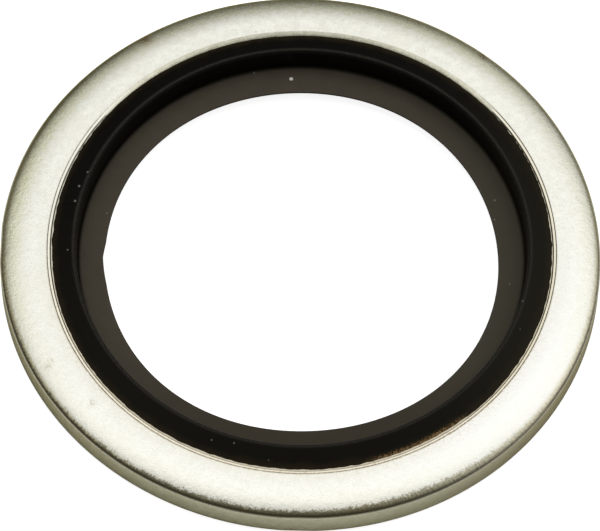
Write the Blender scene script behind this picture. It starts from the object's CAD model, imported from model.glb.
# %% [markdown]
# # A self-centring bonded sealing washer
#
# The real washer is two pieces: a stamped, zinc-plated steel ring, and a black rubber seal that was moulded
# into the ring's bore and bonded there. The seal has a lip on each face and a thin web inside. This lesson
# loads the engineer's model as a fixed frame, then dresses it: it turns both sections afresh with finer
# edges, and paints zinc and rubber with nodes. Nothing here moves or resizes the engineer's parts.

# %% Load the frame
import math

import bmesh
import bpy
from mathutils import Matrix, Vector, noise


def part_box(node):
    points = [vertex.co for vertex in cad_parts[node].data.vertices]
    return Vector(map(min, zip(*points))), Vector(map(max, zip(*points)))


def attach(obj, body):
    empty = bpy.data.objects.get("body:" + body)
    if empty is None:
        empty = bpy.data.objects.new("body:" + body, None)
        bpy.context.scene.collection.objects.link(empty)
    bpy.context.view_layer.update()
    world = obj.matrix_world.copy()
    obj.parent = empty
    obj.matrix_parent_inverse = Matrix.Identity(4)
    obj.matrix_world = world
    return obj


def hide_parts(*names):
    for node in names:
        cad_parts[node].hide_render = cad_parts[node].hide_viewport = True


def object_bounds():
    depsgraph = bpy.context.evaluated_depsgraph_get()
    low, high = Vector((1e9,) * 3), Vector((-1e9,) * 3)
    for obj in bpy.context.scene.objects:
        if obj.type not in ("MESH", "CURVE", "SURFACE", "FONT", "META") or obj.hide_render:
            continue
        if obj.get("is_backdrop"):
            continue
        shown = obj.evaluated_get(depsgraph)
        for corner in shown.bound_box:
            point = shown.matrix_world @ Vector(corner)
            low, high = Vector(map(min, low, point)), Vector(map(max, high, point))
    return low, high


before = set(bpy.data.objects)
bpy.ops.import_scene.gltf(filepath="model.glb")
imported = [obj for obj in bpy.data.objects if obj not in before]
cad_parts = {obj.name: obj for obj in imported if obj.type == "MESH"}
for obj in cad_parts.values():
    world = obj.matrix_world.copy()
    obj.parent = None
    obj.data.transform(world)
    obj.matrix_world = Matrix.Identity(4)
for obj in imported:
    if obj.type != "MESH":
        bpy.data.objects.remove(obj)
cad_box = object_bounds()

MM = 0.001


def print_box(owner, box):
    """Prints a box's lowest and highest corners."""
    for name, corner in zip(("lowest", "highest"), box):
        print(owner, name, "corner in mm:", [round(value / MM, 3) for value in corner])


print("the frame's nodes:", sorted(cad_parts))
print_box("the frame's", cad_box)

# %% [markdown]
# ## The sizes
#
# The frame gives the outer sizes, so they are read and not typed. The small ones, such as the coined edge,
# are a toolmaker's figures, and each is written in millimetres in the cell that first uses it. Radii run
# out from the bore's axis, and heights run up from the middle of the steel.

# %% Sizes from the frame
steel_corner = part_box("steel_ring")[1]
seal_low_corner, seal_high_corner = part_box("rubber_seal")
outer_radius = steel_corner.x
face_height = steel_corner.z
bond_radius = seal_high_corner.x
crest_height = seal_high_corner.z
floor_height = seal_low_corner.z
print("outer radius %.2f mm, steel bore %.3f mm" % (outer_radius / MM, bond_radius / MM))
print("each lip stands %.2f mm proud of the steel" % ((crest_height - face_height) / MM))

# %% [markdown]
# ## The camera
#
# The view is a usual one for a small part: a long lens, about 60 degrees above the table, with the ring
# filling the frame. The aim is a little in front of the axis, because a ring seen from above and in front
# spreads more towards the viewer. The camera is turned a little about its own line of sight, as a hand
# would hold it. Its three axes are set as a matrix, which says more plainly where it looks than three
# angles would.

# %% Camera
IMAGE_WIDTH = 600
SENSOR_WIDTH = 36.0
focal_pixels = 5200.0
near_clip = 10 * MM
view_distance = 302.2 * MM
view_elevation = math.radians(60.3)
view_roll = math.radians(1.3)
aim = Vector((-0.04 * MM, -1.15 * MM, 0.80 * MM))

sight = Vector((0, math.cos(view_elevation), -math.sin(view_elevation)))
level = Vector((1, 0, 0))
upright = level.cross(sight)
right = level * math.cos(view_roll) + upright * math.sin(view_roll)
up = upright * math.cos(view_roll) - level * math.sin(view_roll)

camera_data = bpy.data.cameras.new("camera")
camera_data.sensor_width = SENSOR_WIDTH
camera_data.lens = SENSOR_WIDTH * focal_pixels / IMAGE_WIDTH
camera_data.clip_start = near_clip
camera = bpy.data.objects.new("camera", camera_data)
turn = Matrix((right, up, -sight)).transposed()
camera.matrix_world = Matrix.Translation(aim - sight * view_distance) @ turn.to_4x4()
bpy.context.scene.collection.objects.link(camera)
bpy.context.scene.camera = camera
print("lens %.0f mm at %.0f mm" % (camera_data.lens, view_distance / MM))

# %% [markdown]
# ## Turning a section
#
# Both pieces are bodies of revolution, so each starts as half a section: a flat rectangle that stands on
# the XZ plane beside the axis. Its corners are moved, bevelled and extruded there, which is easy to judge
# by eye, and one spin about Z makes the solid. A round tube of faces with its long edges bevelled would
# also do, but each bevel would then have to be right all the way round. Everything is deselected first,
# because an operator acts on all that is selected.

# %% Start a section
def start_section(name, inner, outer, low, high):
    """A rectangle in the XZ plane, left open in edit mode with nothing selected."""
    bpy.ops.object.select_all(action="DESELECT")
    middle = ((inner + outer) / 2, 0, (low + high) / 2)
    bpy.ops.mesh.primitive_plane_add(size=1, location=middle, rotation=(math.pi / 2, 0, 0))
    section = bpy.context.object
    section.name = section.data.name = name
    section.scale = (outer - inner, high - low, 1)
    bpy.ops.object.transform_apply(location=True, rotation=True, scale=True)
    bpy.ops.object.mode_set(mode="EDIT")
    bpy.ops.mesh.select_mode(type="VERT")
    bpy.ops.mesh.select_all(action="DESELECT")
    print(name, "starts %.2f mm wide and %.2f mm high" % ((outer - inner) / MM, (high - low) / MM))
    return section


# %% [markdown]
# ## Picking points of the section
#
# By hand, a corner is clicked. In code it is found by its place, so the test is written on a point's radius
# and height. A corner that isn't found, or is found twice, stops the script at once, which is better than a
# bevel on the wrong point.

# %% Pick points
SLACK = 0.01 * MM
CORNER_REACH = 0.003 * MM


def select_points(test):
    """Selects the points of the open mesh that pass the test, and returns how many there are."""
    mesh = bmesh.from_edit_mesh(bpy.context.object.data)
    for point in mesh.verts:
        point.select = test(point)
    mesh.select_flush_mode()
    bmesh.update_edit_mesh(bpy.context.object.data)
    return sum(point.select for point in mesh.verts)


def pick(test):
    """Selects the section's points whose radius and height pass the test."""
    return select_points(lambda point: test(point.co.x, point.co.z))


def pick_corner(radius, height):
    """Selects the one point at this radius and height."""
    found = pick(lambda r, z: math.hypot(r - radius, z - height) < CORNER_REACH)
    assert found == 1, "%d points at %.3f, %.3f mm" % (found, radius / MM, height / MM)


print("a corner is found within %.3f mm of where it should be" % (CORNER_REACH / MM))

# %% [markdown]
# ## Moving and rounding a corner
#
# Two moves shape nearly all of a section: a corner goes to a new place, or it is bevelled. One segment
# gives a chamfer and more give a round, and the cut is how much of each side it takes off.

# %% Move and round a corner
def move_corner(radius, height, new_radius, new_height):
    """Moves the corner at this radius and height to a new place."""
    pick_corner(radius, height)
    bpy.ops.transform.translate(value=(new_radius - radius, 0, new_height - height))


def round_corner(radius, height, cut, segments, profile=0.5):
    """Bevels the corner at this radius and height, cutting this far along both of its sides."""
    pick_corner(radius, height)
    bpy.ops.mesh.bevel(offset=cut, segments=segments, profile=profile, affect="VERTICES", clamp_overlap=False)


# %% [markdown]
# ## Spinning it
#
# A spin that goes all the way round leaves two copies of the first outline on one another, so doubles are
# merged after it. Only the outline is spun: the section's own face would stay behind as a wall inside the
# ring. The normals are then made to point outwards, because a spin can turn a shape inside out.

# %% Spin a section
TURNS = 900
DOUBLE = 0.0005 * MM


def spin_section(section):
    """Turns the outline once about Z and closes the edit."""
    bpy.ops.mesh.select_all(action="SELECT")
    bpy.ops.mesh.delete(type="ONLY_FACE")
    bpy.ops.mesh.select_all(action="SELECT")
    bpy.ops.mesh.spin(steps=TURNS, angle=2 * math.pi, center=(0, 0, 0), axis=(0, 0, 1))
    bpy.ops.mesh.select_all(action="SELECT")
    bpy.ops.mesh.remove_doubles(threshold=DOUBLE)
    bpy.ops.mesh.normals_make_consistent(inside=False)
    bpy.ops.object.mode_set(mode="OBJECT")
    print(section.name, "has", len(section.data.polygons), "faces")


print("one step of the spin is %.3f mm at the rim" % (2 * math.pi * outer_radius / TURNS / MM))

# %% [markdown]
# ## The steel ring's rolled edge
#
# A punch cuts the ring out of sheet. It draws the sheet's upper edge down before it cuts, which leaves a
# broad rolled edge. A corner bevel is as wide as it is deep, so the edge is bevelled too deep and then
# squashed in height. An arc drawn point by point would do too, but the bevel's profile can be tuned with
# one number.

# %% Roll the upper outer edge
rollover_width = 1.90 * MM
rollover_depth = 0.536 * MM
ROLLED_SEGMENTS = 32
ROLLED_PROFILE = 0.482

steel = start_section("steel_ring_plated", bond_radius, outer_radius, -face_height, face_height)
round_corner(outer_radius, face_height, rollover_width, ROLLED_SEGMENTS, profile=ROLLED_PROFILE)
rolled_inner = outer_radius - rollover_width - SLACK
rolled_foot = face_height - rollover_width - SLACK
rolled = pick(lambda r, z: r > rolled_inner and z > rolled_foot)
squash = (1, 1, rollover_depth / rollover_width)
bpy.ops.transform.resize(value=squash, center_override=(0, 0, face_height))
print(rolled, "points make the rolled edge")

# %% [markdown]
# ## The coined edge of its bore
#
# The mould closes on the steel round the bore and coins two shallow steps there, one inside the other. They
# start as a plain chamfer, which is divided in four and moved corner by corner. Two insets would have to be
# made on the round mesh, where each would need its own width and depth.

# %% Coin the two steps, on both faces
coin_width = 0.420 * MM
coin_depth = 0.145 * MM
bond_height = face_height - coin_depth
# each corner of the steps: how far out from the bond, and how far below the face, in millimetres
STEP_CORNERS = ((0.370, 0.045), (0.250, 0.055), (0.180, 0.135))

coin_outer = bond_radius + coin_width + SLACK
coin_foot = face_height - coin_width - SLACK
for side in (1, -1):
    round_corner(bond_radius, side * face_height, coin_width, 1)
    pick(lambda r, z: r < coin_outer and z * side > coin_foot)
    bpy.ops.mesh.subdivide(number_cuts=len(STEP_CORNERS))
    for index, (outward, drop) in enumerate(STEP_CORNERS, start=1):
        share = index / (len(STEP_CORNERS) + 1)
        old = (bond_radius + coin_width * (1 - share), side * (face_height - coin_width * share))
        move_corner(*old, bond_radius + outward * MM, side * (face_height - drop * MM))
    move_corner(bond_radius, side * (face_height - coin_width), bond_radius, side * bond_height)
print("the steps are %.2f mm wide and %.3f mm deep" % (coin_width / MM, coin_depth / MM))

# %% [markdown]
# ## The sheared wall
#
# After it has rolled the edge, the punch shears the wall, and the wall leans in a little towards its top.
# The shear cuts through the rolled edge, so the two meet at a crisp corner. One bisect with a leaning plane
# does the same here, and a small bevel breaks the lower edge, as tumbling does.

# %% Shear the wall, then turn the ring
wall_top = 0.60 * MM
wall_lean = 0.06 * MM
lower_break = 0.05 * MM
BREAK_SEGMENTS = 4

bpy.ops.mesh.select_all(action="SELECT")
wall_foot = (outer_radius, 0, -face_height)
wall_normal = (face_height + wall_top, 0, wall_lean)
bpy.ops.mesh.bisect(plane_co=wall_foot, plane_no=wall_normal, clear_outer=True)
round_corner(outer_radius, -face_height, lower_break, BREAK_SEGMENTS)
spin_section(steel)

# %% [markdown]
# ## The rubber seal's lip block
#
# The seal is one moulding, so it is one section: the lip block against the steel, with an apex above and
# below, and the web that runs in from its inner wall. The block comes from a rectangle whose outer corners
# are pulled together to the bond's height, which gives both sloping backs at once. The crests are rounded
# last, so until then the block runs up to the sharp apex that their round cuts off.

# %% Shape the lip block
crest_radius = 0.18 * MM
crest_line = 13.345 * MM
draft_angle = math.radians(3)
APEX_RISE = 0.39

slope = math.atan2(crest_height - bond_height, bond_radius - crest_line)
apex_radius = crest_line - crest_radius
apex_height = crest_height + APEX_RISE * crest_radius
seal = start_section("rubber_seal_moulding", apex_radius, bond_radius, -apex_height, apex_height)
pick(lambda r, z: r > bond_radius - SLACK)
bpy.ops.transform.resize(value=(1, 1, bond_height / apex_height), center_override=(0, 0, 0))
print("the lip's back slopes at %.1f degrees" % math.degrees(slope))

# %% [markdown]
# ## The centring web
#
# The web is extruded from the block's inner wall, between two cuts. It thins towards its bore, so that a
# thread can push through it, and it hangs nearer to the lower face. The wall above and below it has a draft
# of three degrees, which lets the moulding leave its tool.

# %% Cut the wall and extrude the web
web_bore = 11.575 * MM
web_top = -0.34 * MM
web_root_bottom = -0.82 * MM
web_edge_bottom = -0.49 * MM


def one_face():
    """Makes the section a single face again, after a cut or an extrusion."""
    bpy.ops.mesh.select_all(action="SELECT")
    bpy.ops.mesh.dissolve_faces()


def cut_level(height):
    """Puts a point on each side of the outline at this height."""
    bpy.ops.mesh.select_all(action="SELECT")
    bpy.ops.mesh.bisect(plane_co=(0, 0, height), plane_no=(0, 0, 1))
    one_face()


cut_level(web_top)
cut_level(web_root_bottom)
root_top = apex_radius - math.tan(draft_angle) * (apex_height - web_top)
root_bottom = apex_radius - math.tan(draft_angle) * (apex_height + web_root_bottom)
move_corner(apex_radius, web_top, root_top, web_top)
move_corner(apex_radius, web_root_bottom, root_bottom, web_root_bottom)

web_length = apex_radius - web_bore
pick(lambda r, z: r < apex_radius + SLACK and web_root_bottom - SLACK < z < web_top + SLACK)
bpy.ops.mesh.extrude_edges_move(TRANSFORM_OT_translate={"value": (-web_length, 0, 0)})
move_corner(root_top - web_length, web_top, web_bore, web_top)
move_corner(root_bottom - web_length, web_root_bottom, web_bore, web_edge_bottom)
one_face()
print("the web reaches %.2f mm in from its root" % ((root_top - web_bore) / MM))

# %% [markdown]
# ## Flash, crests and small rounds
#
# Where the mould closed on the coined steps, a thin tip of rubber crept out over them: the flash. It is a
# tiny bevel whose one point is pulled out over the steel. Then the crests and the web's corners are
# rounded, and the section is turned.

# %% Finish the seal's section, then turn it
FLASH_CUT = 0.020 * MM
flash_radius = bond_radius + 0.118 * MM
flash_height = bond_height + 0.028 * MM
apex_angle = math.pi / 2 + draft_angle - slope
crest_cut = crest_radius / math.tan(apex_angle / 2)
CREST_SEGMENTS = 16
root_round = 0.25 * MM
ROOT_SEGMENTS = 8
web_edge_round = 0.05 * MM
EDGE_SEGMENTS = 4

for side in (1, -1):
    round_corner(bond_radius, side * bond_height, FLASH_CUT, 1)
    on_slope = (bond_radius - FLASH_CUT * math.cos(slope), side * (bond_height + FLASH_CUT * math.sin(slope)))
    move_corner(*on_slope, flash_radius, side * flash_height)
    round_corner(apex_radius, side * apex_height, crest_cut, CREST_SEGMENTS)
round_corner(root_top, web_top, root_round, ROOT_SEGMENTS)
round_corner(root_bottom, web_root_bottom, root_round, ROOT_SEGMENTS)
round_corner(web_bore, web_top, web_edge_round, EDGE_SEGMENTS)
round_corner(web_bore, web_edge_bottom, web_edge_round, EDGE_SEGMENTS)
spin_section(seal)

# %% [markdown]
# ## What the press, the mould and the box did to them
#
# A spun piece is too perfect. On the real one the stamped outline is a little out of round, the coined
# steps are worn along the far side, and the rubber sits off the steel's centre. All of this is shape, so it
# is made by moving the points of the spun meshes. Sculpting by hand would give the same, but not the same
# each time: here the noise comes from a fixed table, and the waves from named sizes.

# %% Helpers for moving points
FACE_STRETCH = 40


def polar(point):
    """A point's distance from the axis, and its azimuth in degrees."""
    return math.hypot(point.co.x, point.co.y), math.degrees(math.atan2(point.co.y, point.co.x)) % 360


def push_out(point, distance):
    """Moves a point away from the axis."""
    radius = math.hypot(point.co.x, point.co.y)
    point.co.x *= 1 + distance / radius
    point.co.y *= 1 + distance / radius


def blend(value, low, high):
    """0 at low, 1 at high, and smooth between."""
    share = min(max((value - low) / (high - low), 0), 1)
    return share * share * (3 - 2 * share)


def uneven(point, size):
    """Smooth noise from -1 to 1 that runs round the ring and differs from one face to the other."""
    return noise.noise(Vector((point.co.x, point.co.y, point.co.z * FACE_STRETCH)) / size)


def waves(azimuth, table):
    """The sum of a few waves: each row is lobes, azimuth of a crest, and size in millimetres."""
    return sum(size * MM * math.cos(lobes * math.radians(azimuth - crest)) for lobes, crest, size in table)


print("the helpers will move", len(steel.data.vertices), "and", len(seal.data.vertices), "points")

# %% [markdown]
# ## An outline that isn't quite round
#
# A stamped disc springs back unevenly when the punch lets go. One wave shifts the outline, and two more
# make it slightly oval and three-cornered. A point is never pushed past the square box round the engineer's
# ring.

# %% Let the stamped outline go a little out of round
OUTLINE_WAVES = ((1, -98, 0.058), (2, -37, 0.041), (3, -56, 0.038))
OUTLINE_SHRINK = 0.016 * MM
outline = []
for point in steel.data.vertices:
    radius, azimuth = polar(point)
    outer = blend(radius, outer_radius - rollover_width, outer_radius - rollover_width / 3)
    room = outer_radius * radius / max(abs(point.co.x), abs(point.co.y)) - outer_radius
    push_out(point, min(waves(azimuth, OUTLINE_WAVES) - OUTLINE_SHRINK, room) * outer)
    if radius > outer_radius - CORNER_REACH:
        outline.append(polar(point)[0] / MM)
print("the outline's radius runs from %.3f to %.3f mm" % (min(outline), max(outline)))

# %% [markdown]
# ## Worn steps
#
# Along the far side the coined steps have been rubbed into one soft slope. Each of their corners has a
# place when crisp and a place when worn, and a point moves from one to the other as far as the wear says.
# The tool wasn't quite central, so the whole band moves a little too.

# %% Wear the coined steps round on the far side
WORN_CORNERS = ((0.370, 0.020), (0.250, 0.066), (0.115, 0.144))
WORN_START, WORN_END, WORN_FADE = 36, 148, 12
RIPPLE_LENGTH = 0.8 * MM
RIPPLE_HEIGHT = 0.008
STEP_REACH = 0.004 * MM
coin_offset = Vector((0.048 * MM, -0.027 * MM, 0))

worn = 0
for point in steel.data.vertices:
    radius, azimuth = polar(point)
    wear = blend(azimuth, WORN_START, WORN_START + WORN_FADE) * blend(azimuth, WORN_END, WORN_END - WORN_FADE)
    ripple = uneven(point, RIPPLE_LENGTH) * RIPPLE_HEIGHT
    for (outward, drop), (worn_outward, worn_drop) in zip(STEP_CORNERS, WORN_CORNERS):
        if abs(radius - bond_radius - outward * MM) < STEP_REACH and point.co.z > bond_height:
            point.co.z = face_height - (drop + (worn_drop - drop) * wear) * MM
            push_out(point, (ripple + (worn_outward - outward) * wear) * MM)
            worn += wear > 0.5
    if bond_radius + SLACK < radius < bond_radius + coin_width + SLACK:
        point.co += coin_offset
print(worn, "points of the coined steps are worn")

# %% [markdown]
# ## The moulding off centre, and its flash
#
# The steel lay a little to one side in the mould, so the rubber is off its centre. The flash crept out
# unevenly: fine noise makes its ragged edge, and slow noise its longer patches. It reaches further along
# the near side.

# %% Set the moulding off centre, and let its flash creep
mould_offset = Vector((0.056 * MM, 0.048 * MM, 0))
# each row of creep: the size of its features, and how far it moves the edge in millimetres
CREEP = ((0.42 * MM, 0.045), (0.15 * MM, 0.012), (3.0 * MM, 0.025))
NEAR_CREEP = 0.030
NEAR_CREEP_START, NEAR_CREEP_FULL = -0.3, 0.4

flash_points = 0
for point in seal.data.vertices:
    radius, azimuth = polar(point)
    if abs(radius - bond_radius) > SLACK:
        point.co += mould_offset
    if radius > flash_radius - SLACK:
        flash_points += 1
        towards_viewer = -point.co.y / radius
        near_creep = blend(towards_viewer, NEAR_CREEP_START, NEAR_CREEP_FULL) * NEAR_CREEP
        creep = sum(uneven(point, size) * share for size, share in CREEP)
        push_out(point, (creep + near_creep) * MM)
print(flash_points, "points of flash moved")

# %% [markdown]
# ## A soft web
#
# The web is thin and soft, so its bore isn't quite round either, and it has one small nick, where it caught
# as it left the mould. The nick is steep on one side and long on the other.

# %% Let the web's bore go a little out of round, and nick it
BORE_WAVES = ((1, -100, 0.100), (2, -6, 0.049), (3, 97, 0.033), (4, 51, 0.060))
BORE_SHRINK = 0.085 * MM
NICK_START, NICK_BOTTOM, NICK_END = 176.0, 181.0, 190.5
NICK_DEPTH = 0.12 * MM
FULL_SWAY = web_bore + 0.1 * MM
NICK_REACH = web_bore + web_edge_round + 0.20 * MM
bore = []
for point in seal.data.vertices:
    radius, azimuth = polar(point)
    inner = blend(radius, root_top - root_round, FULL_SWAY)
    push_out(point, (waves(azimuth, BORE_WAVES) - BORE_SHRINK) * inner)
    bore.append(polar(point)[0] / MM)
    if radius < NICK_REACH:
        short_side = (azimuth - NICK_START) / (NICK_BOTTOM - NICK_START)
        long_side = (NICK_END - azimuth) / (NICK_END - NICK_BOTTOM)
        push_out(point, NICK_DEPTH * max(0, min(short_side, long_side)))
print("the bore's smallest radius is %.3f mm, and the nick is %.2f mm deep" % (min(bore), NICK_DEPTH / MM))

# %% [markdown]
# ## Smooth shading
#
# A polished round is smooth and a coined corner is crisp, so edges are smoothed by their angle. The outer
# line of the coined band turns by less than that angle and is still crisp on the real ring, so it is marked
# sharp before the smoothing, which keeps such edges.

# %% Mark the coined line, and shade both pieces
SMOOTH_UP_TO = math.radians(28)
FACE_REACH = 0.001 * MM


def on_coined_line(point):
    """True for the points where the coined band meets the flat face."""
    from_line = (point.co - coin_offset).xy.length - bond_radius - coin_width
    return abs(from_line) < SLACK and point.co.z > face_height - FACE_REACH


for piece in (steel, seal):
    bpy.ops.object.select_all(action="DESELECT")
    piece.select_set(True)
    bpy.context.view_layer.objects.active = piece
    bpy.ops.object.mode_set(mode="EDIT")
    bpy.ops.mesh.select_mode(type="VERT")
    marked = select_points(lambda point: piece is steel and on_coined_line(point))
    bpy.ops.mesh.mark_sharp()
    bpy.ops.object.mode_set(mode="OBJECT")
    bpy.ops.object.shade_smooth_by_angle(angle=SMOOTH_UP_TO, keep_sharp_edges=True)
    print(piece.name, "has", marked, "points on its sharp line")

# %% [markdown]
# ## Setting the pieces on the frame
#
# Each piece stands for one of the engineer's parts and rides with the one body that the washer has. The
# slot names the record's material that its finish belongs to.

# %% Ride, replace and name the slots
for piece, node in ((steel, "steel_ring"), (seal, "rubber_seal")):
    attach(piece, "root")
    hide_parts(node)
    print(piece.name, "stands for", node)

# %% [markdown]
# ## Writing materials as sums
#
# A node tree is arithmetic on sockets. Nodes can be placed and linked one by one in the editor, but a
# finish like this one has hundreds, and a formula says more plainly what they do. The small class below
# wraps a socket, so that `1 - mask * 0.4` adds the Math nodes it needs. The reflected forms, such as
# __rsub__, are for sums in which the number comes first.

# %% A socket that can be reckoned with
class Wire:
    """A socket that can be added, multiplied and limited as a number can."""

    def __init__(self, finish, socket):
        self.finish = finish
        self.socket = socket

    def math(self, operation, *values):
        return self.finish.add("Math", {"operation": operation}, dict(enumerate(values)))

    def __add__(self, other):
        return self.math("ADD", self, other)

    def __radd__(self, other):
        return self.math("ADD", other, self)

    def __sub__(self, other):
        return self.math("SUBTRACT", self, other)

    def __rsub__(self, other):
        return self.math("SUBTRACT", other, self)

    def __mul__(self, other):
        return self.math("MULTIPLY", self, other)

    def __rmul__(self, other):
        return self.math("MULTIPLY", other, self)

    def __truediv__(self, other):
        return self.math("DIVIDE", self, other)

    def __pow__(self, other):
        return self.math("POWER", self, other)

    def __abs__(self):
        return self.math("ABSOLUTE", self)

    def at_least(self, other):
        return self.math("MAXIMUM", self, other)

    def at_most(self, other):
        return self.math("MINIMUM", self, other)


# %% [markdown]
# ## One method for every node
#
# Any other node is added by its type, its settings and what its sockets hold. The settings come first,
# because some of them change which sockets a node has.

# %% A finish
class Finish:
    """A material on one Principled shader, built up node by node."""

    def __init__(self, name):
        self.material = bpy.data.materials.new(name)
        self.material.use_nodes = True
        self.tree = self.material.node_tree
        self.shader = self.tree.nodes["Principled BSDF"]
        self.place = self.add("TexCoord", {}, {}, "Object")

    def add(self, kind, settings, inputs, output=0):
        """Adds one node: its settings first, then what its sockets hold or are linked to."""
        node = self.tree.nodes.new("ShaderNode" + kind)
        for name, value in settings.items():
            setattr(node, name, value)
        for name, value in inputs.items():
            self.feed(node.inputs[name], value)
        return Wire(self, node.outputs[output])

    def feed(self, socket, value):
        if isinstance(value, Wire):
            self.tree.links.new(value.socket, socket)
        else:
            socket.default_value = value

    def set(self, **values):
        """Sets the shader's own sockets, named with underscores for spaces."""
        for name, value in values.items():
            self.feed(self.shader.inputs[name.replace("_", " ")], value)

    def put_on(self, piece):
        """Gives the finish to a piece."""
        piece.data.materials.append(self.material)
        print(self.material.name, "has", len(self.tree.nodes), "nodes")


# %% [markdown]
# ## Places on the object
#
# A pattern has to stay with the piece when it moves, so every place is read from Object coordinates. On a
# turned piece, the flat place, the distance from the axis and the height are the useful ones.

# %% Vectors taken apart
def split(vector):
    """The X, Y and Z of a vector."""
    outputs = vector.finish.add("SeparateXYZ", {}, {0: vector}).socket.node.outputs
    return [Wire(vector.finish, outputs[axis]) for axis in ("X", "Y", "Z")]


def join(x, y, z):
    """A vector from three numbers, of which the first is a wire."""
    return x.finish.add("CombineXYZ", {}, {"X": x, "Y": y, "Z": z})


def vector_math(operation, vector, inputs, output="Vector"):
    """One sum on a vector, with what its other sockets hold."""
    return vector.finish.add("VectorMath", {"operation": operation}, {0: vector, **inputs}, output)


def ring_place(finish):
    """The flat place, the radius and the height of a point on a turned piece."""
    x, y, height = split(finish.place)
    flat = join(x, y, 0.0)
    return flat, vector_math("LENGTH", flat, {}, "Value"), height


def ring_sides(flat, radius):
    """From -1 to 1: how far a point is from left to right, and from near to far."""
    x, y, _ = split(flat)
    return x / radius, y / radius


def radius_about(flat, centre):
    """How far a flat place is from a centre that isn't the axis."""
    return vector_math("LENGTH", vector_math("SUBTRACT", flat, {1: centre}), {}, "Value")


# %% [markdown]
# ## Masks and colours
#
# A mask is a number from 0 to 1 that says where something is. Nearly all of them are made by one soft step
# over a distance. A finish is then painted in layers, each a colour with its mask, and the last one lies on
# top. Colours go through Mix nodes, because a Math node would turn them grey.

# %% Steps, lines and layers
# a Mix node has sockets for numbers, vectors and colours, and these are the ones for colours
MIX_FIRST, MIX_SECOND, MIX_RESULT = 6, 7, 2


def colour(red, green, blue):
    """A colour as a socket holds it, solid."""
    return (red, green, blue, 1.0)


def step(value, low, high):
    """0 below low, 1 above high, and smooth between. Low may be the larger."""
    inputs = {"Value": value, "From Min": low, "From Max": high}
    return value.finish.add("MapRange", {"interpolation_type": "SMOOTHSTEP"}, inputs)


def line(value, middle, half_width):
    """1 in a narrow line about the middle value, and 0 at its half width."""
    return step(abs(value - middle), half_width, 0.0)


def mix(mask, first, second):
    """A colour between two colours."""
    inputs = {0: mask, MIX_FIRST: first, MIX_SECOND: second}
    return mask.finish.add("Mix", {"data_type": "RGBA"}, inputs, MIX_RESULT)


def paint(tint, *layers):
    """A colour with layers over it: each layer is a mask and a colour, and the last is on top."""
    for mask, layer in layers:
        tint = mix(mask, tint, layer)
    return tint


# %% [markdown]
# ## Noise, spots and bumps
#
# Noise is sized by its features in metres, which is easier to judge than a scale. Streaks are noise on a
# place that changes fast round the ring and slowly along its section. Spots are small round masks at given
# azimuths and radii, for dust and stains.

# %% Patterns
def cloud_noise(place, size, detail=3.0, roughness=0.5):
    """Cloudy noise from 0 to 1, with features of about this size in metres."""
    inputs = {"Vector": place, "Scale": 1 / size, "Detail": detail, "Roughness": roughness}
    return place.finish.add("TexNoise", {}, inputs)


def streak_noise(flat, along_section, size, stretch):
    """Noise that is drawn out along the section and stays fine round the ring."""
    turned = vector_math("NORMALIZE", flat, {})
    x, y, _ = split(vector_math("SCALE", turned, {"Scale": outer_radius}))
    return cloud_noise(join(x, y, along_section / stretch), size, detail=2.0)


def spots(place, rows, height_at, softness=0.3):
    """1 inside small round spots: each row is azimuth in degrees, then radius and size in millimetres."""
    mask = None
    for azimuth, radius, size in rows:
        turned = math.radians(azimuth)
        centre = Vector((math.cos(turned), math.sin(turned), 0)) * radius * MM
        centre.z = height_at(radius * MM)
        away = vector_math("DISTANCE", place, {1: centre}, "Value")
        spot = step(away, size * MM * (0.5 + softness / 2), size * MM * (0.5 - softness / 2))
        mask = mask.at_least(spot) if mask else spot
    return mask


def bump(height, distance, strength=1.0, under=None):
    """A normal bent by a height, on top of another bump if there is one."""
    inputs = {"Height": height, "Distance": distance, "Strength": strength}
    if under:
        inputs["Normal"] = under
    return height.finish.add("Bump", {}, inputs)


# %% [markdown]
# ## Zinc plating: its grain and its sides
#
# The ring was tumbled and then plated, so its face has a cloudy grain a tenth of a millimetre across. It
# takes four sizes of noise, and one drawn out into streaks. The ring isn't worn alike all round, so a few
# soft masks say which side a point is on. A painted image could hold the wear too, but no finer than its
# pixels.

# %% Zinc: noise
zinc = Finish("zinc_plating")
flat, radius, height = ring_place(zinc)
fine = cloud_noise(zinc.place, size=0.075 * MM, detail=2.0, roughness=0.6)
grain = cloud_noise(zinc.place, size=0.13 * MM, roughness=0.6)
cloud = cloud_noise(zinc.place, size=0.42 * MM, detail=5.0, roughness=0.65)
broad = cloud_noise(zinc.place, size=3.5 * MM)
streaks = streak_noise(flat, radius + height, size=0.15 * MM, stretch=3.0)
sparkle = step(grain, 0.30, 0.70)
mottle = step(cloud, 0.34, 0.66)
grain_sway = grain - 0.5
cloud_sway = cloud - 0.5
print("zinc starts with", len(zinc.tree.nodes), "nodes")

# %% Zinc: which side of the ring a point is on
across, depth = ring_sides(flat, radius)
near_side = step(depth, 0.35, -0.65)
nearest = step(depth, -0.45, -1.0)
far_side = step(depth, 0.10, 0.75)
worn_side = step(depth, 0.60, 0.80)
right_side = step(across, 0.50, 0.95)
near_right = near_side * step(across, 0.15, 0.80)
far_left = step(depth, 0.10, 0.60) * step(across, 0.70, 0.10)
print("across and depth run from -1 to 1, left to right and near to far")

# %% [markdown]
# ## Zinc: the flat face
#
# The face is pale and satin. Its tint is mixed from a grey and a pale zinc by the cloud, then brightened by
# the grain and dirtied by the fine noise. The grain is calmer along the far side, where the face was
# rubbed.

# %% Zinc: the face's tint
PLATING_GREY = colour(0.83, 0.82, 0.725)
PLATING_PALE = colour(0.94, 0.935, 0.84)
PLATING_BRIGHT = colour(1.0, 0.995, 0.93)
PLATING_CREAM = colour(0.90, 0.88, 0.76)
PLATING_SHADE = colour(0.76, 0.75, 0.66)
PLATING_CLEAN = colour(0.945, 0.943, 0.92)

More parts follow.
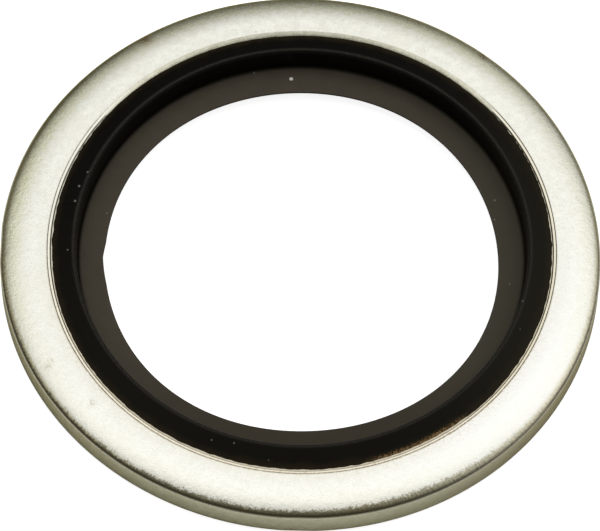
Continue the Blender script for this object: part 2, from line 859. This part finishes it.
face_tint = paint(
    mix(mottle, PLATING_GREY, PLATING_PALE),
    (sparkle * (0.75 - far_side * 0.40), PLATING_BRIGHT),
    (step(broad, 0.45, 0.65) * 0.35, PLATING_CREAM),
    (step(fine, 0.36, 0.62) * (0.35 - far_side * 0.22 + near_right * 0.15), PLATING_SHADE),
    (near_side * 0.15 + near_right * 0.6, PLATING_CLEAN),
)
print("the face brings zinc to", len(zinc.tree.nodes), "nodes")

# %% [markdown]
# ## Zinc: the rolled edge
#
# Towards the rolled edge the plating turns dull and olive. Along the near side the punch dragged the metal,
# and dirt has stayed in the score. Each zone is a step over the distance in from the outline, and noise is
# added to the distance, so that no zone ends in a clean circle.

# %% Zinc: zones of the rolled edge
DULL_INNER, DULL_FULL, DULL_SWAY = 1.60 * MM, 0.50 * MM, 1.2 * MM
DARK_INNER, DARK_FULL, DARK_SWAY = 0.45 * MM, 0.18 * MM, 0.3 * MM
EDGE_INNER, EDGE_FULL, EDGE_SWAY = 0.52 * MM, 0.12 * MM, 0.25 * MM
SCORE_INNER, SCORE_FULL, SCORE_NARROWING = 0.44 * MM, 0.26 * MM, 0.22 * MM
SCORE_STREAKS, SCORE_GRAIN, SCORE_CLOUD = 0.25 * MM, 0.8 * MM, 0.4 * MM

inward = outer_radius - radius
dulling = step(inward + cloud_sway * DULL_SWAY, DULL_INNER, DULL_FULL)
dark_rim = step(inward + cloud_sway * DARK_SWAY, DARK_INNER, DARK_FULL)
outermost = step(inward + cloud_sway * EDGE_SWAY, EDGE_INNER, EDGE_FULL) * far_left
ragged = (streaks - 0.5) * SCORE_STREAKS + grain_sway * SCORE_GRAIN + cloud_sway * SCORE_CLOUD
ragged = ragged + (1 - nearest) * SCORE_NARROWING
scored = step(inward + ragged, SCORE_INNER, SCORE_FULL) * near_side
print("the plating turns dull over the outer %.2f mm" % (DULL_INNER / MM))

# %% Zinc: the rolled edge's tint
OLIVE_GREY = colour(0.80, 0.78, 0.52)
OLIVE_PALE = colour(0.97, 0.955, 0.72)
OLIVE_DULL = colour(0.62, 0.56, 0.31)
OLIVE_DARK = colour(0.34, 0.31, 0.15)
SCORE_DIRT = colour(0.20, 0.17, 0.09)

rim_tint = paint(
    face_tint,
    (dulling * (1 - near_side * 0.8) * (1 - right_side * 0.6), mix(sparkle, OLIVE_GREY, OLIVE_PALE)),
    (dark_rim * (0.6 + mottle * 0.4) * (1 - near_right * 0.8), OLIVE_DULL),
    (outermost, OLIVE_DARK),
    (scored * (0.75 - near_right * 0.35), SCORE_DIRT),
)
print("the rolled edge brings it to", len(zinc.tree.nodes))

# %% [markdown]
# ## Zinc: the sheared wall and its corner
#
# The wall is duller than the face, and darkest at its foot. A dark line of dirt sits in the corner between
# the rolled edge and the wall. It needs no geometry of its own: it is a soft line over the height above the
# wall.

# %% Zinc: zones of the wall
WALL_BLUR = 0.02 * MM
CORNER_LEVEL, CORNER_HALF_WIDTH, CORNER_SWAY = 0.02 * MM, 0.08 * MM, 0.08 * MM
FOOT_DEPTH = 0.40 * MM
BY_CORNER_TOP, BY_CORNER_FULL = 0.22 * MM, 0.10 * MM

above_wall = height - wall_top
wall = step(above_wall, WALL_BLUR, -WALL_BLUR)
corner = line(above_wall + cloud_sway * CORNER_SWAY, CORNER_LEVEL, CORNER_HALF_WIDTH) * near_side
corner = corner * (1 - near_right * step(across, 0.90, 0.75) * 0.5)
foot = step(height + cloud_sway * FOOT_DEPTH, -face_height + FOOT_DEPTH, -face_height)
by_corner = step(above_wall, BY_CORNER_TOP, BY_CORNER_FULL) * near_right
print("the wall is %.2f mm high" % ((wall_top + face_height) / MM))

# %% Zinc: the wall's tint
WALL_OLIVE = colour(0.88, 0.86, 0.62)
WALL_PALE = colour(1.0, 0.98, 0.75)
WALL_CLEAN = colour(0.96, 0.94, 0.84)
FOOT_DARK = colour(0.40, 0.36, 0.22)
CORNER_OLIVE = colour(0.70, 0.65, 0.44)
CORNER_DIRT = colour(0.12, 0.085, 0.035)

wall_tint = paint(
    mix(mottle, WALL_OLIVE, WALL_PALE),
    (near_right * 0.75, WALL_CLEAN),
    (foot * (0.5 - near_right * 0.5), FOOT_DARK),
)
tint = paint(rim_tint, (wall, wall_tint), (by_corner * 0.6, CORNER_OLIVE), (corner * 0.7, CORNER_DIRT))
print("the wall brings it to", len(zinc.tree.nodes))

# %% [markdown]
# ## Zinc: the coined band
#
# The band is creamy on the near side, browner at the right, and patchy where it is worn. Adhesive was wiped
# over it before moulding, and has left a tan line along its outer step, tan specks on the face beside it
# and a thin film next to the rubber.

# %% Zinc: zones of the coined band
BAND_OUTER, BAND_INNER = 0.03 * MM, -0.02 * MM
UPPER_SIDE = 0.1 * MM
TAN_PLACE, TAN_HALF_WIDTH, TAN_SWAY = 0.02 * MM, 0.095 * MM, 0.12 * MM
SPECKS_REACH = 0.8 * MM
FILM_OUTER, FILM_FULL, FILM_SWAY = 0.27 * MM, 0.15 * MM, 0.10 * MM

coin_radius = radius_about(flat, coin_offset)
outer_step = bond_radius + coin_width - 0.02 * MM
band = step(coin_radius, outer_step + BAND_OUTER, outer_step + BAND_INNER) * step(height, 0.0, UPPER_SIDE)
tan_line = line(coin_radius + grain_sway * TAN_SWAY, outer_step + TAN_PLACE, TAN_HALF_WIDTH)
tan_line = tan_line * (near_side * 0.55 + 0.25) * step(grain, 0.30, 0.54)
specks = step(coin_radius, outer_step + SPECKS_REACH, outer_step) * near_side
specks = specks * (0.15 + step(grain, 0.52, 0.66) * 0.4)
film = step(coin_radius + grain_sway * FILM_SWAY, bond_radius + FILM_OUTER, bond_radius + FILM_FULL) * band
print("the band runs from %.2f to %.2f mm out" % (bond_radius / MM, outer_step / MM))

# %% Zinc: the coined band's tint
BAND_GREY = colour(0.84, 0.83, 0.71)
BAND_CREAM = colour(1.0, 0.92, 0.76)
BAND_BROWN = colour(0.86, 0.78, 0.59)
WORN_DARK = colour(0.50, 0.48, 0.33)
WORN_PALE = colour(0.96, 0.94, 0.74)
ADHESIVE_TAN = colour(0.34, 0.27, 0.15)
ADHESIVE_SPECK = colour(0.60, 0.53, 0.36)
ADHESIVE_FILM = colour(0.26, 0.22, 0.12)

tint = paint(
    tint,
    (band * 0.75, BAND_GREY),
    (band * near_side * 0.85, BAND_CREAM),
    (band * right_side * 0.6, BAND_BROWN),
    (band * worn_side * 0.7, mix(mottle * 0.5 + sparkle * 0.5, WORN_DARK, WORN_PALE)),
    (tan_line, ADHESIVE_TAN),
    (specks, ADHESIVE_SPECK),
    (film * 0.5, ADHESIVE_FILM),
)
print("the band brings it to", len(zinc.tree.nodes))

# %% [markdown]
# ## Zinc: a few stains
#
# Two rust spots have come through the plating at the rim, and a handful of smudges lie on the face. They
# are spots at named places, broken up by the grain.

# %% Zinc: rust and smudges
# each row: azimuth in degrees, then radius and size in millimetres
RUST = ((124, 17.05, 0.80), (52, 17.1, 0.5))
SMUDGES = (
    (101.5, 14.98, 0.16), (222, 15.85, 0.40), (210, 16.6, 0.40), (209, 16.3, 0.35),
    (307, 14.80, 0.26), (288, 14.80, 0.26),
)
STAIN_SOFTNESS = 0.9
RUST_BROWN = colour(0.42, 0.27, 0.12)
SMUDGE_OLIVE = colour(0.40, 0.37, 0.22)


def face_surface(radius):
    """The height of the ring's flat face, which is the same at every radius."""
    return face_height


x, y, _ = split(flat)
on_face = join(x, y, face_height)
broken = step(grain, 0.42, 0.58)
rust = spots(on_face, RUST, face_surface, STAIN_SOFTNESS) * broken
smudge = spots(on_face, SMUDGES, face_surface, STAIN_SOFTNESS) * broken
tint = paint(tint, (rust, RUST_BROWN), (smudge * 0.5, SMUDGE_OLIVE))
print(len(RUST), "rust spots and", len(SMUDGES), "smudges")

# %% [markdown]
# ## Zinc: its gloss
#
# Plated steel is a metal all over. Its grain bends the reflections a little, more so where the plating is
# dull and less along the far side. The score has fine streaks of its own. The specular tint makes the
# plating warmer where it is seen at a grazing angle.

# %% Zinc: roughness, bumps and the finished material
GRAIN_HEIGHT, CLOUD_HEIGHT, STREAK_HEIGHT = 0.012 * MM, 0.025 * MM, 0.02 * MM
GRAZING = colour(0.70, 0.65, 0.46)

roughness = 0.18 + grain * 0.12
unevenness = (0.4 + dulling * 0.5 * (1 - near_side * 0.5)) * (1 - far_side * 0.55)
normal = bump(cloud, CLOUD_HEIGHT, unevenness)
normal = bump(grain, GRAIN_HEIGHT, unevenness, normal)
normal = bump(streaks, STREAK_HEIGHT, dark_rim * near_side, normal)
zinc.set(Base_Color=tint, Metallic=1.0, Roughness=roughness, Normal=normal, Specular_Tint=GRAZING)
zinc.put_on(steel)

# %% [markdown]
# ## Nitrile rubber: lips and web
#
# The moulding is black. Its lips are smooth from a polished mould, and their crests are scuffed. The web
# carries a thin brown-grey bloom, the haze that rubber sweats out in storage. One material does all of it,
# because it is one moulding: the zones are masks over the radius from the moulding's own centre.

# %% Rubber: places and zones
WEB_INNER, WEB_FADE = 0.28 * MM, 0.02 * MM
WEB_FACE_LOW, WEB_FACE_HIGH = 0.04 * MM, 0.01 * MM
CREST_INWARD, CREST_HALF_WIDTH = 0.03 * MM, 0.18 * MM
BOND_ZONE, BOND_PAST, BOND_SWAY = 0.40 * MM, 0.1 * MM, 0.5 * MM

rubber = Finish("nitrile_rubber")
flat, radius, height = ring_place(rubber)
across, depth = ring_sides(flat, radius)
lip_radius = radius_about(flat, mould_offset)
haze = cloud_noise(rubber.place, size=0.9 * MM, detail=5.0, roughness=0.6)
speckle = cloud_noise(rubber.place, size=0.08 * MM, roughness=0.6)

on_web = step(lip_radius, root_top + WEB_FADE, root_top - WEB_INNER)
on_web = on_web * step(height, web_top - WEB_FACE_LOW, web_top - WEB_FACE_HIGH)
crest = line(lip_radius, crest_line - CREST_INWARD, CREST_HALF_WIDTH) * step(height, 0.0, UPPER_SIDE)
near_bond = step(radius + (haze - 0.5) * BOND_SWAY, bond_radius - BOND_ZONE, bond_radius + BOND_PAST)
print("rubber starts with", len(rubber.tree.nodes), "nodes")

# %% Rubber: the lips' and the web's tint
LIP_BLACK = colour(0.0016, 0.0014, 0.0009)
LIP_HAZE = colour(0.0040, 0.0034, 0.0020)
BOND_BROWN = colour(0.024, 0.016, 0.007)
LIP_BLOOM = colour(0.013, 0.011, 0.006)
CREST_SCUFF = colour(0.036, 0.032, 0.026)
WEB_BLOOM = colour(0.074, 0.062, 0.044)
WEB_BLOOM_PALE = colour(0.108, 0.090, 0.065)
WEB_GREEN = colour(0.078, 0.072, 0.052)
WEB_DARK = colour(0.040, 0.032, 0.018)

lip_tint = paint(
    mix(haze, LIP_BLACK, LIP_HAZE),
    (near_bond * 0.8, BOND_BROWN),
    (step(across, 0.55, 0.95) * 0.5, LIP_BLOOM),
    (crest * (0.3 + step(speckle, 0.35, 0.65) * 0.7), CREST_SCUFF),
)
web_tint = paint(
    mix(haze, WEB_BLOOM, WEB_BLOOM_PALE),
    (step(across, 0.4, 0.9) * 0.5, WEB_GREEN),
    (step(depth, -0.5, -1.0) * 0.45, WEB_DARK),
)
tint = mix(on_web, lip_tint, web_tint)
print("the bloom covers the web inside %.2f mm" % (root_top / MM))

# %% [markdown]
# ## Rubber: dust and one pale fleck
#
# Dark rubber shows every speck. Each one here lies at a place of its own, on the surface that carries it:
# the sloping back of the lip, or the top of the web. Scattered noise would give specks too, but not these
# few.

# %% Rubber: dust
# each row: azimuth in degrees, then radius and size in millimetres
LIP_DUST = (
    (164.5, 13.56, 0.15), (168.9, 13.51, 0.15), (182.9, 13.57, 0.10), (160.1, 13.40, 0.12),
    (263.6, 14.13, 0.10), (249.4, 13.78, 0.09), (254.8, 13.58, 0.09), (330.5, 14.20, 0.10),
    (337.6, 13.76, 0.10), (344.9, 13.33, 0.09),
)
WEB_DUST = (
    (166.5, 11.77, 0.09), (20.4, 12.08, 0.12), (14.4, 11.68, 0.09), (353.4, 12.28, 0.08),
    (103.5, 13.01, 0.13),
)
FLECK = ((93.8, 12.31, 0.22),)
DUST_GREY = colour(0.36, 0.34, 0.29)
FLECK_WHITE = colour(0.95, 0.93, 0.86)


def lip_surface(radius):
    """The height of the lip's sloping back at this radius."""
    return bond_height + (bond_radius - radius) * math.tan(slope)


def web_surface(radius):
    """The height of the web's top, which is flat."""
    return web_top


dust = spots(rubber.place, LIP_DUST, lip_surface).at_least(spots(rubber.place, WEB_DUST, web_surface))
fleck = spots(rubber.place, FLECK, web_surface)
tint = paint(tint, (dust * 0.65, DUST_GREY), (fleck, FLECK_WHITE))
print(len(LIP_DUST) + len(WEB_DUST), "specks of dust and", len(FLECK), "fleck")

# %% [markdown]
# ## Rubber: the adhesive's stain
#
# Along one stretch of the near side a little cured adhesive has crept out of the bond and stained the flash
# brown. The stretch is a mask over the azimuth. A dot product with the direction of its middle gives the
# cosine of the angle to it, which needs no arctangent and has no seam.

# %% Rubber: the stain
STAIN_MIDDLE = math.radians(299)
STAIN_END, STAIN_FULL = math.radians(14), math.radians(5)
STAIN_INNER, STAIN_OUTER, STAIN_SWAY = 0.10 * MM, 0.12 * MM, 0.5 * MM
STAIN_DARK = colour(0.10, 0.055, 0.018)
STAIN_TAN = colour(0.48, 0.29, 0.12)

stain_side = Vector((math.cos(STAIN_MIDDLE), math.sin(STAIN_MIDDLE), 0))
towards_stain = vector_math("DOT_PRODUCT", flat, {1: stain_side}, "Value") / radius
stain = step(towards_stain, math.cos(STAIN_END), math.cos(STAIN_FULL))
stain_place = radius + (speckle - 0.5) * STAIN_SWAY
stain = stain * step(stain_place, bond_radius - STAIN_INNER, bond_radius + STAIN_OUTER)
tint = paint(tint, (stain * 0.85, mix(step(speckle, 0.40, 0.62), STAIN_DARK, STAIN_TAN)))
print("the stain is %.0f degrees long" % (2 * math.degrees(STAIN_END)))

# %% [markdown]
# ## Rubber: its gloss
#
# The lips are satin and the bloom makes the web duller. Rubber this dark would look grey under a bright
# tent with the usual reflection of a plastic, so its specular level is low, and slightly warm.

# %% Rubber: roughness, bump and the finished material
SPECKLE_HEIGHT = 0.004 * MM
RUBBER_SPECULAR = 0.10
SPECULAR_WARM = colour(1.0, 0.95, 0.78)

gloss = 0.26 + on_web * 0.16 + haze * 0.08
normal = bump(speckle, SPECKLE_HEIGHT, 0.5)
rubber.set(Base_Color=tint, Roughness=gloss, Normal=normal)
rubber.set(Specular_IOR_Level=RUBBER_SPECULAR, Specular_Tint=SPECULAR_WARM)
rubber.put_on(seal)

# %% [markdown]
# ## The table
#
# The washer lies on its lower lip, so the table's top is at the lip's lowest point. It is pale paper. A
# glow that only the camera's rays and rays through glass can see takes it to white, so the white comes from
# the table and not from more light on the washer. The glow isn't given to glossy rays, because the ring's
# wall mirrors the table just in front of it, and a real wall shows that table grey.

# %% Table
TABLE_RADIUS = 580 * MM
TABLE_SIDES = 96
TABLE_GLOW = 0.86
PAPER_WHITE = colour(0.80, 0.80, 0.78)

bpy.ops.object.select_all(action="DESELECT")
top = (0, 0, floor_height)
bpy.ops.mesh.primitive_circle_add(vertices=TABLE_SIDES, radius=TABLE_RADIUS, fill_type="NGON", location=top)
table = bpy.context.object
table.name = "table"
bpy.ops.object.transform_apply(location=True)
table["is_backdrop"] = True

paper = Finish("table_paper")
rays = paper.add("LightPath", {}, {}).socket.node.outputs
seen = Wire(paper, rays["Is Camera Ray"]) + Wire(paper, rays["Is Transmission Ray"])
glow = seen.at_most(1.0) * TABLE_GLOW
paper.set(Base_Color=PAPER_WHITE, Roughness=0.9)
paper.set(Emission_Color=join(glow, glow, glow), Emission_Strength=1.0)
paper.put_on(table)

# %% [markdown]
# ## The light tent
#
# Shiny metal shows the room, so the room is what lights it. This one is a light tent: a big dome of cloth
# that glows brightest overhead and behind the washer, reaches lower on the right, fades towards the table,
# and is dim on the viewer's side. Flat faces fill with light, while every rounded edge falls away to dark.
# Lamps would do it too, but each would show as a hard patch. The camera doesn't see the dome.

# %% Light tent
TENT_RADIUS = 600 * MM
TENT_SEGMENTS, TENT_RINGS = 64, 32
LEAN_RIGHT, LEAN_LEFT = 0.28, 0.06
GLOW_START, GLOW_SPAN = 0.42, 0.55
GLOW_MOST, GLOW_CURVE = 0.89, 1.05
FRONT_DIM, FRONT_FULL = -0.60, 0.20
TENT_LEVEL = 1.10
TENT_DIM = 0.135
CLOTH_DARK = colour(0.05, 0.05, 0.05)

bpy.ops.object.select_all(action="DESELECT")
bpy.ops.mesh.primitive_uv_sphere_add(
    segments=TENT_SEGMENTS, ring_count=TENT_RINGS, radius=TENT_RADIUS, location=(0, 0, 0)
)
tent = bpy.context.object
tent.name = "light_tent"
tent.visible_camera = False
tent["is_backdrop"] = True

cloth = Finish("tent_cloth")
to_right, to_back, rise = split(vector_math("NORMALIZE", cloth.place, {}))
leaning = rise + to_right.at_least(0.0) * LEAN_RIGHT + to_right.at_most(0.0) * LEAN_LEFT
overhead = ((leaning - GLOW_START) / GLOW_SPAN).at_least(0.0).at_most(GLOW_MOST)
behind = step(to_back, FRONT_DIM, FRONT_FULL)
level_here = overhead ** GLOW_CURVE * behind * TENT_LEVEL + TENT_DIM
cloth.set(Base_Color=CLOTH_DARK, Roughness=1.0)
cloth.set(Emission_Color=join(level_here, level_here, level_here), Emission_Strength=1.0)
cloth.put_on(tent)

# %% [markdown]
# ## A plain white room
#
# Outside the tent the world is plain white, which the camera sees past the table's edge. Colours are shown
# as they are.

# %% World and view
world = bpy.data.worlds.new("white_room")
world.use_nodes = True
background = world.node_tree.nodes["Background"]
background.inputs["Color"].default_value = colour(1, 1, 1)
background.inputs["Strength"].default_value = 1.0
bpy.context.scene.world = world
bpy.context.scene.view_settings.view_transform = "Standard"
print("view transform:", bpy.context.scene.view_settings.view_transform)

# %% [markdown]
# ## Sizes for the record
#
# The engineer's box was kept straight after loading. The dressed washer has to stay inside it, so both
# boxes are written down. The last line checks that every piece rides on the frame, and writes the table of
# pieces.

# %% Write the sizes, and finish
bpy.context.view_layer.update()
print_box("the washer's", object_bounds())
